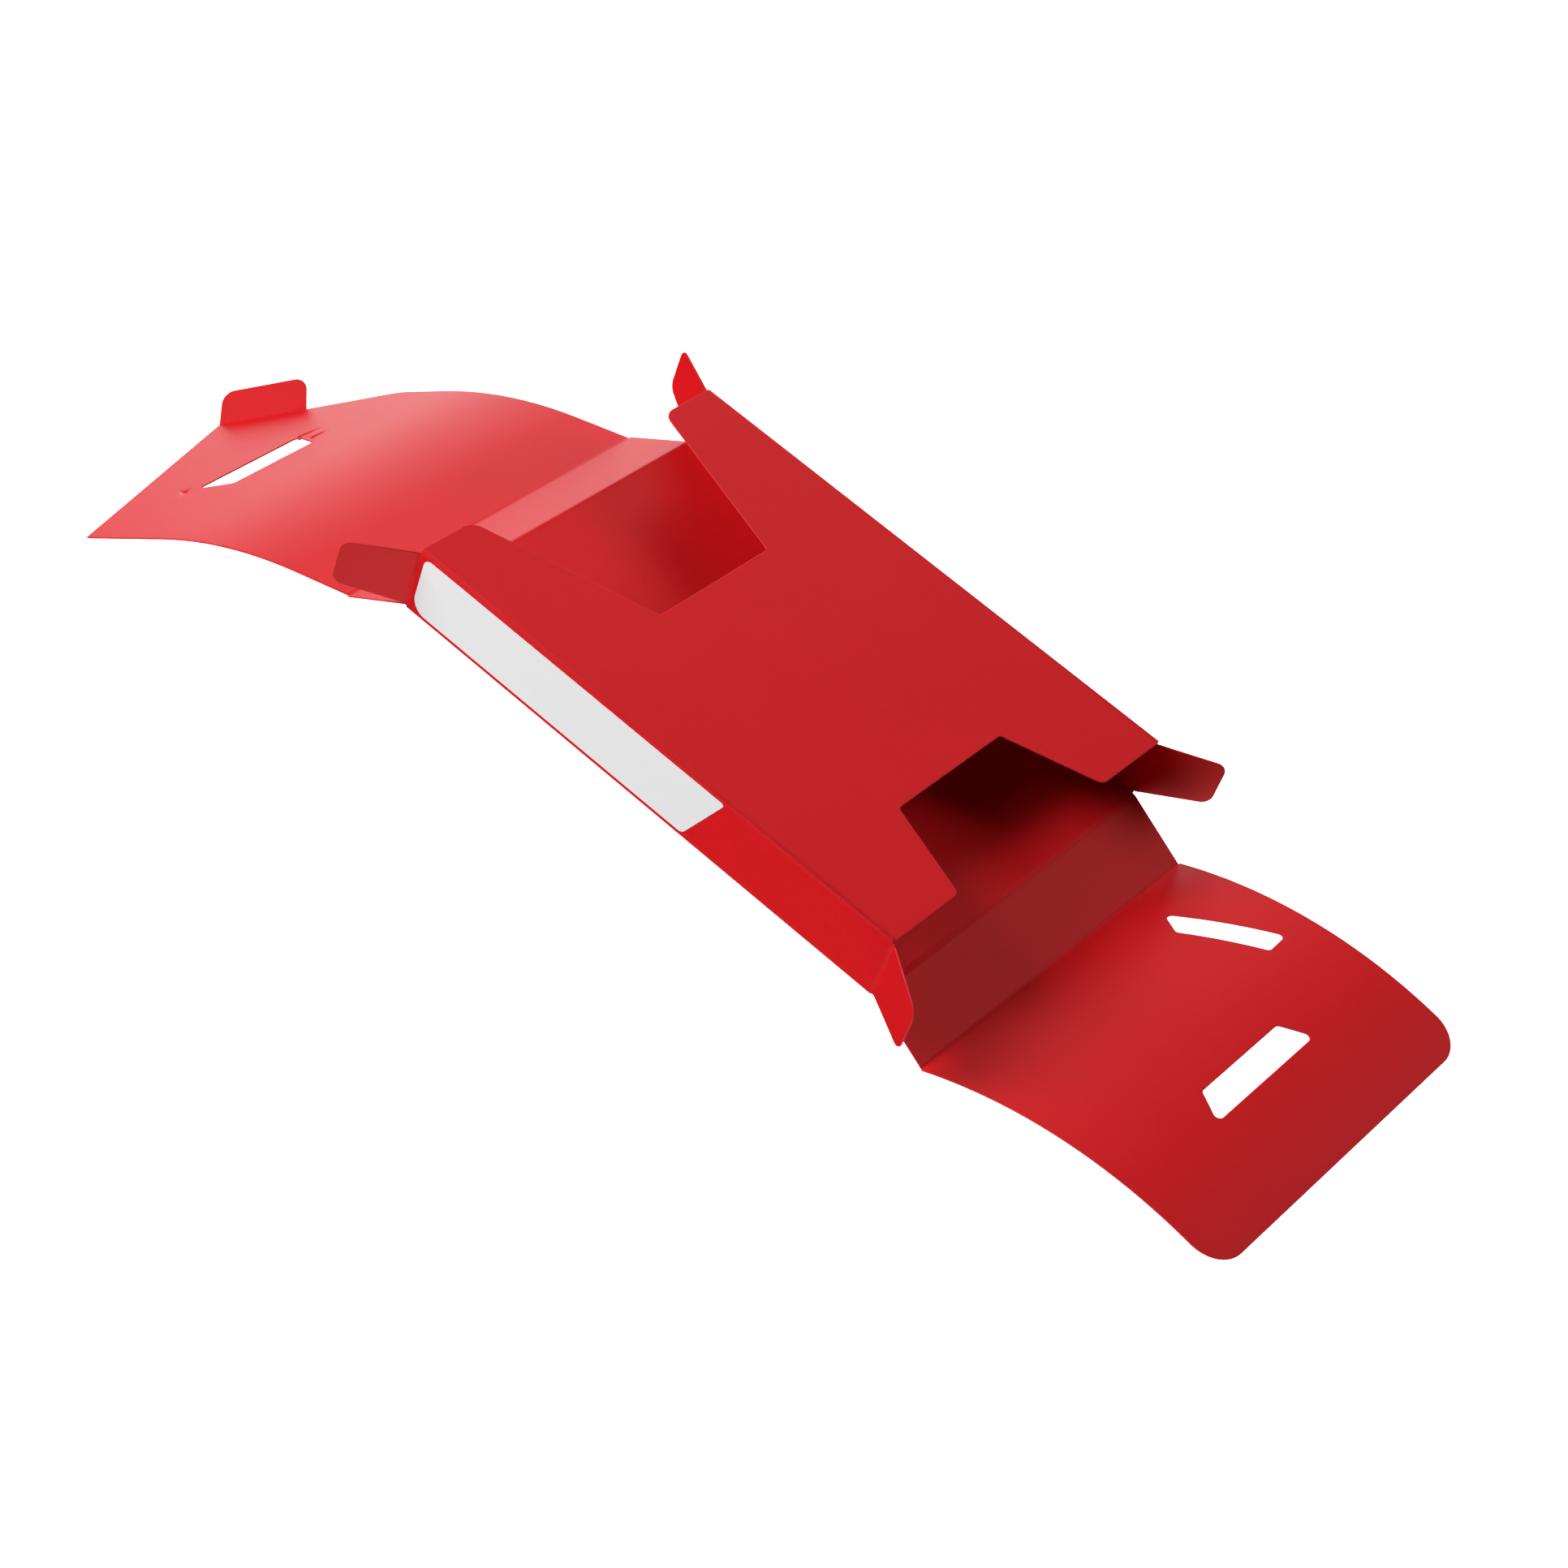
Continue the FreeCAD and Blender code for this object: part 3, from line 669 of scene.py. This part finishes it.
def mark_points():
    """A fine net of points over each mark, so that the groove has enough of them to show."""
    points = []
    for start, stop in MARKS:
        start, stop = np.array(start), np.array(stop)
        run = stop - start
        length = np.linalg.norm(run)
        side = np.array([-run[1], run[0]]) / length
        for share in np.linspace(0.0, MARK_OVERRUN, int(length / MARK_STEP)):
            rows = range(-MARK_ROWS, MARK_ROWS + 1)
            points += [start + run * share + side * k * MARK_STEP for k in rows]
    points = np.array(points)
    keep = inside(points, outlines["left_tongue"][0]) & ~inside(points, outlines["left_tongue"][1])
    for loop in outlines["left_tongue"]:
        keep &= clear_of(points, loop, MARK_EDGE_GAP)
    apart = []
    for point in points[keep]:
        if all(np.linalg.norm(point - other) > MARK_POINT_GAP for other in apart):
            apart.append(point)
    return np.array(apart)


def curled_corner(out, along):
    """The upper outer corner of a flap bends back, more and more toward its tip."""
    reach = outlines["flap_right_far"][0][:, 0].max()
    height = outlines["flap_right_far"][0][:, 1].max()
    share = np.clip(0.5 * (out / reach + along / height) - CURL_START, 0.0, None)
    return -CURL * share**2


WEAR = {
    "left_tongue": (pressed_marks, mark_points()),
    "flap_right_far": (curled_corner, ()),
}
print(f"{len(MARKS)} pressed marks, {len(WEAR['left_tongue'][1])} points over them")

# %% [markdown]
# ## Every panel in card
# Each panel and flap is made from its own cut line. It stands in for its CAD node and rides on
# the body that the node belongs to. The CAD meshes could show as they are, but their rims are
# sharp and their faces have too few points to take a pressed mark. A loop serves all the panels,
# because they are cut from the same card.

# %% Panels
PANEL_SPACING = 3.5 * MM
for node, loops in outlines.items():
    if node == "label":
        continue
    lift, extra = WEAR.get(node, (None, ()))
    # The rims take the edge finish, whose lighter tone is a painted highlight.
    finish = ("red_card", "cut_edge_painted_highlight")
    piece = sheet_piece("card_" + node, sheets[node], loops, CARD, PANEL_SPACING, finish, lift, extra)
    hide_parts(node)
    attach(piece, body_of[node])
    print(f"{piece.name}: {len(piece.data.polygons)} faces, rides on {body_of[node]}")

# %% [markdown]
# ## The label
# A blank label of matte white paper, a tenth of a millimetre thick, is stuck to the near wall.
# It could be a white patch in the wall's finish. As a piece of its own, made as the card is but
# much thinner, it has an edge that catches a fine line of light.

# %% Label
low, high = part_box("label")
LABEL_THICKNESS = high.y - low.y
cut = outlines["label"]
finish = ("white_label", "white_label")
label = sheet_piece("paper_label", sheets["label"], cut, LABEL_THICKNESS, PANEL_SPACING, finish)
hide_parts("label")
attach(label, body_of["label"])
print(f"label: {LABEL_THICKNESS / MM:.2f} mm thick")

# %% [markdown]
# ## Creases
# A crease is card that a blunt rule has pressed into a groove, so that it folds there and nowhere
# else. Each one is a narrow band of its own that laps over the two panels. Its edges sink into the
# panels, so no step shows, and its middle stands a hair proud, as a pressed bead does. The turn
# is a small arc, tangent to both panels.

# %% Crease bands
BAND = 1.15 * MM           # how far a crease band laps over each panel
BEAD = 0.012 * MM          # how far it stands proud
SINK = 0.03 * MM           # how far its edges sink into the card
TWO_WAY_ROUND = 0.35 * MM  # radius of the middle of a fold that goes both ways
BAND_STEPS = 12
BEAD_FLATNESS = 6          # how level the bead is before it falls away to the band's edges
# The band's ends are rounded too: millimetres from the end, and the share of its thickness there.
END_STEPS = ((0.0, 0.55), (0.06, 0.85), (0.16, 1.0))


def fold_places(corner, toward_a, toward_b, radius, offsets, lifts):
    """Places across a fold: offsets run from panel a to panel b along the middle of the card."""
    bisector = (toward_a + toward_b).normalized()
    across = (toward_b - toward_a).normalized()
    half_turn = math.acos(max(-1.0, min(1.0, -toward_a.dot(toward_b)))) / 2
    centre = corner + bisector * (radius / math.cos(half_turn))
    places = []
    for offset, lift in zip(offsets, lifts):
        angle = max(-half_turn, min(half_turn, offset / radius))
        spoke = across * math.sin(angle) - bisector * math.cos(angle)
        forward = across * math.cos(angle) + bisector * math.sin(angle)
        places.append(centre + spoke * (radius + lift) + forward * (offset - angle * radius))
    return places


def crease_band(name, node, corner, toward_a, toward_b, axis, radius, lap_b=BAND):
    """A closed band over a fold, as long as the CAD node that it stands for."""
    spans = [(v.co - corner).dot(axis) for v in nodes[node].data.vertices]
    start, stop = min(spans), max(spans)
    offsets = np.linspace(-BAND, lap_b, 2 * BAND_STEPS + 1)
    share = np.abs(offsets) / BAND
    upper = CARD / 2 + BEAD - (BEAD + SINK) * share**BEAD_FLATNESS
    loop_offsets = np.concatenate([offsets, offsets[::-1]])
    loop_lifts = np.concatenate([upper, -upper[::-1]])
    stations = [(start + depth * MM, width) for depth, width in END_STEPS]
    stations += [(stop - depth * MM, width) for depth, width in reversed(END_STEPS)]
    places = []
    for along, width in stations:
        ring = fold_places(corner, toward_a, toward_b, radius, loop_offsets, loop_lifts * width)
        places += [p + axis * along for p in ring]
    size = len(loop_offsets)
    faces = []
    for k in range(len(stations) - 1):
        for i in range(size):
            j = (i + 1) % size
            faces.append((k * size + i, k * size + j, (k + 1) * size + j, (k + 1) * size + i))
    steps = len(offsets)
    for i in range(steps - 1):
        for first, flip in ((0, False), ((len(stations) - 1) * size, True)):
            quad = (first + i, first + size - 1 - i, first + size - 2 - i, first + i + 1)
            faces.append(quad[::-1] if flip else quad)
    if toward_a.cross(toward_b).dot(axis) > 0:
        faces = [face[::-1] for face in faces]
    return new_piece(name, places, faces, ("creased_card",), [0] * len(faces))


def blended_crease(node, joint_name, corner, toward_a, toward_b, radius=TWO_WAY_ROUND):
    """A crease band along the axis of its joint; the CAD node that it stands for is hidden."""
    joint = joints[joint_name]
    axis = Vector(joint["axis"]).normalized()
    piece = crease_band("fold" + node[len("crease"):], node, corner, toward_a, toward_b, axis, radius)
    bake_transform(piece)
    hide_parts(node)
    return piece


folds = []
for place in FLAPS:
    joint_name = place + "_flap_fold"
    pivot = Vector(joints[joint_name]["pos_m"])
    inward = Vector((-math.copysign(1.0, pivot.x), 0.0, 0.0))
    flap_out = sheets["flap_" + place].out
    folds.append(blended_crease("crease_flap_" + place, joint_name, pivot, inward, flap_out))
for end in ("left", "right"):
    joint_name = end + "_strip_fold"
    pivot = Vector(joints[joint_name]["pos_m"])
    inward = Vector((-math.copysign(1.0, pivot.x), 0.0, 0.0))
    strip_out = sheets[end + "_strip"].out
    folds.append(blended_crease(f"crease_{end}_strip", joint_name, pivot, inward, strip_out))
    joint_name = end + "_tongue_fold"
    pivot = Vector(joints[joint_name]["pos_m"])
    tongue_out = sheets[end + "_tongue"].out
    folds.append(blended_crease(f"crease_{end}_tongue", joint_name, pivot, -strip_out, tongue_out))
print(f"{len(folds)} creases of the flaps, strips and tongues")

# %% [markdown]
# ## The lock tab's crease and the sleeve's four corners
# The tab folds off the slanting edge of the left tongue, so its band lies in the plane of the
# tongue's end, beyond the bow. The sleeve's long corners turn about their inside edge, with the
# whole thickness of the card outside it, as a square carton corner does. Three of them are laid
# along the axis of a joint. The fourth closes the loop of four panels, where no joint can be, so
# it stays with the top panel and ends where the far wall begins. When the sleeve is pressed flat
# that corner opens out, the wall's end comes up against the top panel's, and the rounded corner
# between them is pressed thin.

# %% Lock tab and sleeve corners
TAIL_START = 150.0 * MM   # two places on the left tongue, both beyond its bow
TAIL_STOP = 200.0 * MM

lock = joints["lock_tab_fold"]
lock_pivot = Vector(lock["pos_m"])
tongue = sheets["left_tongue"]
tail = tongue.placed([(TAIL_START, 0.0, 0.0), (TAIL_STOP, 0.0, 0.0)])
tail_normal = Vector(tail[1] - tail[0]).normalized().cross(tongue.along)
into_tongue = Vector(lock["axis"]).cross(tail_normal).normalized()
if into_tongue.dot(sheets["lock_tab"].out) > 0:
    into_tongue.negate()
tab_out = sheets["lock_tab"].out
folds.append(blended_crease("crease_lock_tab", "lock_tab_fold", lock_pivot, into_tongue, tab_out))

UP = Vector((0.0, 0.0, 1.0))
FAR = Vector((0.0, 1.0, 0.0))
half_card = CARD / 2


def corner_at(pivot, side, level):
    """Where the middles of two panels would meet, half a card outside the inside corner."""
    return Vector(pivot) + FAR * side * half_card + UP * level * half_card


SLEEVE_CORNERS = (
    # crease, joint, the side and the level of its corner, the ways to its parent's and its own panel
    ("crease_base_near", "near_wall_lean", -1, -1, FAR, UP),
    ("crease_base_far", "far_wall_lean", 1, -1, -FAR, UP),
    ("crease_top_near", "top_panel_shift", -1, 1, -UP, FAR),
)
for crease, joint_name, side, level, toward_parent, toward_child in SLEEVE_CORNERS:
    corner = corner_at(joints[joint_name]["pos_m"], side, level)
    folds.append(blended_crease(crease, joint_name, corner, toward_parent, toward_child, half_card))

far_pivot = joints["far_wall_lean"]["pos_m"]
top_pivot = joints["top_panel_shift"]["pos_m"]
inside_corner = (0.0, far_pivot[1], top_pivot[2])
corner = corner_at(inside_corner, 1, 1)
along = Vector((1.0, 0.0, 0.0))
quarter_turn = half_card * math.pi / 4
top_far = crease_band(
    "fold_top_far", "crease_top_far", corner, -FAR, -UP, along, half_card, lap_b=quarter_turn
)
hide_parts("crease_top_far")
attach(top_far, body_of["crease_top_far"])
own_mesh(top_far)
print(f"{len(folds)} creases bend with their joints, and one rides on the top panel")

# %% [markdown]
# ## Floor and light
# The floor is a plain pale sheet well below the card. It glows white by itself, out to its rim,
# so it shows no shadow and meets the white room without a line. Neither it nor the room lights
# the card: soft boxes do that alone, because their shade can be steered. The key light is a large
# one in front and to the left, fairly low, so that everything that faces right, and the inside of
# the right mouth, falls into deep shade. It is near enough that the far right end gets a little
# less of it. Pale bounce comes up from below. Two soft boxes behind fill the top, and a low cool
# one behind shines along the left tongue, where the smooth card turns pale because it is seen at
# a flat angle.

# %% Stage
FLOOR_DROP = 120.0 * MM
FLOOR_RADIUS = 6.0
FLOOR_STEPS = 96
FLOOR_TONE = (0.9, 0.9, 0.9, 1.0)
FLOOR_ROUGHNESS = 0.9
FLOOR_GLOW = 1.0
WHITE = (1.0, 1.0, 1.0, 1.0)
WHITE_LIGHT = (1.0, 1.0, 1.0)
COOL_LIGHT = (0.55, 0.98, 1.0)


def add_floor():
    """A round floor that is white from above and can be seen through from below."""
    level = cad_box[0].z - FLOOR_DROP
    angles = np.linspace(0, 2 * math.pi, FLOOR_STEPS, False)
    rim = [(FLOOR_RADIUS * math.cos(a), FLOOR_RADIUS * math.sin(a), level) for a in angles]
    mesh = bpy.data.meshes.new("floor")
    mesh.from_pydata(rim, [], [tuple(range(FLOOR_STEPS))])
    floor = bpy.data.objects.new("floor", mesh)
    bpy.context.scene.collection.objects.link(floor)
    material = bpy.data.materials.new("pale_floor")
    material.use_nodes = True
    tree = material.node_tree
    shader = tree.nodes["Principled BSDF"]
    shader.inputs["Base Color"].default_value = FLOOR_TONE
    shader.inputs["Roughness"].default_value = FLOOR_ROUGHNESS
    shader.inputs["Emission Color"].default_value = WHITE
    shader.inputs["Emission Strength"].default_value = FLOOR_GLOW
    clear = add_node(tree, "ShaderNodeBsdfTransparent")
    side = add_node(tree, "ShaderNodeNewGeometry")
    either = add_node(tree, "ShaderNodeMixShader")
    tree.links.new(side.outputs["Backfacing"], either.inputs[0])
    tree.links.new(shader.outputs[0], either.inputs[1])
    tree.links.new(clear.outputs[0], either.inputs[2])
    tree.links.new(either.outputs[0], tree.nodes["Material Output"].inputs["Surface"])
    mesh.materials.append(material)
    floor.visible_diffuse = False
    floor.visible_glossy = False
    floor.visible_shadow = False


def add_world():
    """A room that looks white to the camera and gives no light."""
    world = bpy.data.worlds.new("studio")
    bpy.context.scene.world = world
    world.use_nodes = True
    tree = world.node_tree
    room = tree.nodes["Background"]
    room.inputs["Strength"].default_value = 0.0
    backdrop = add_node(tree, "ShaderNodeBackground", Color=WHITE)
    seen = add_node(tree, "ShaderNodeLightPath")
    either = add_node(tree, "ShaderNodeMixShader")
    tree.links.new(seen.outputs["Is Camera Ray"], either.inputs[0])
    tree.links.new(room.outputs[0], either.inputs[1])
    tree.links.new(backdrop.outputs[0], either.inputs[2])
    tree.links.new(either.outputs[0], tree.nodes["World Output"].inputs["Surface"])


def add_soft_light(name, azimuth, elevation, strength, softness, distance, colour=WHITE_LIGHT):
    """A round soft box that faces the object. softness is how many degrees wide it looks from there."""
    half_angle = math.radians(softness) / 2
    radius = distance * math.tan(half_angle)
    data = bpy.data.lights.new(name, "AREA")
    data.shape = "DISK"
    data.size = 2 * radius
    data.color = colour
    data.energy = strength * math.pi * radius**2 / math.sin(half_angle) ** 2
    lamp = bpy.data.objects.new(name, data)
    bpy.context.scene.collection.objects.link(lamp)
    source = toward(math.radians(azimuth), math.radians(elevation))
    lamp.location = source * distance
    lamp.rotation_mode = "QUATERNION"
    lamp.rotation_quaternion = (-source).to_track_quat("-Z", "Y")
    lamp.visible_camera = False


LIGHTS = (
    # name, azimuth, elevation, strength at the object, softness in degrees, metres away, colour
    ("key", -50.0, 27.0, 3.1, 40.0, 1.8),
    ("bounce", 52.0, -42.0, 2.5, 50.0, 3.0),
    ("back_left", 216.0, 30.0, 0.8, 30.0, 3.0),
    ("back_low", 224.0, -9.0, 1.35, 30.0, 3.0, COOL_LIGHT),
    ("back_right", 150.0, 36.0, 1.1, 35.0, 3.0),
)
add_floor()
add_world()
for light in LIGHTS:
    add_soft_light(*light)
bpy.context.scene.view_settings.view_transform = "Standard"
print(f"{len(LIGHTS)} soft lights")

# %% [markdown]
# ## The size
# The box that the CAD model takes is printed.

# %% Finish
print("CAD box   ", [[round(x / MM, 1) for x in c] for c in cad_box])
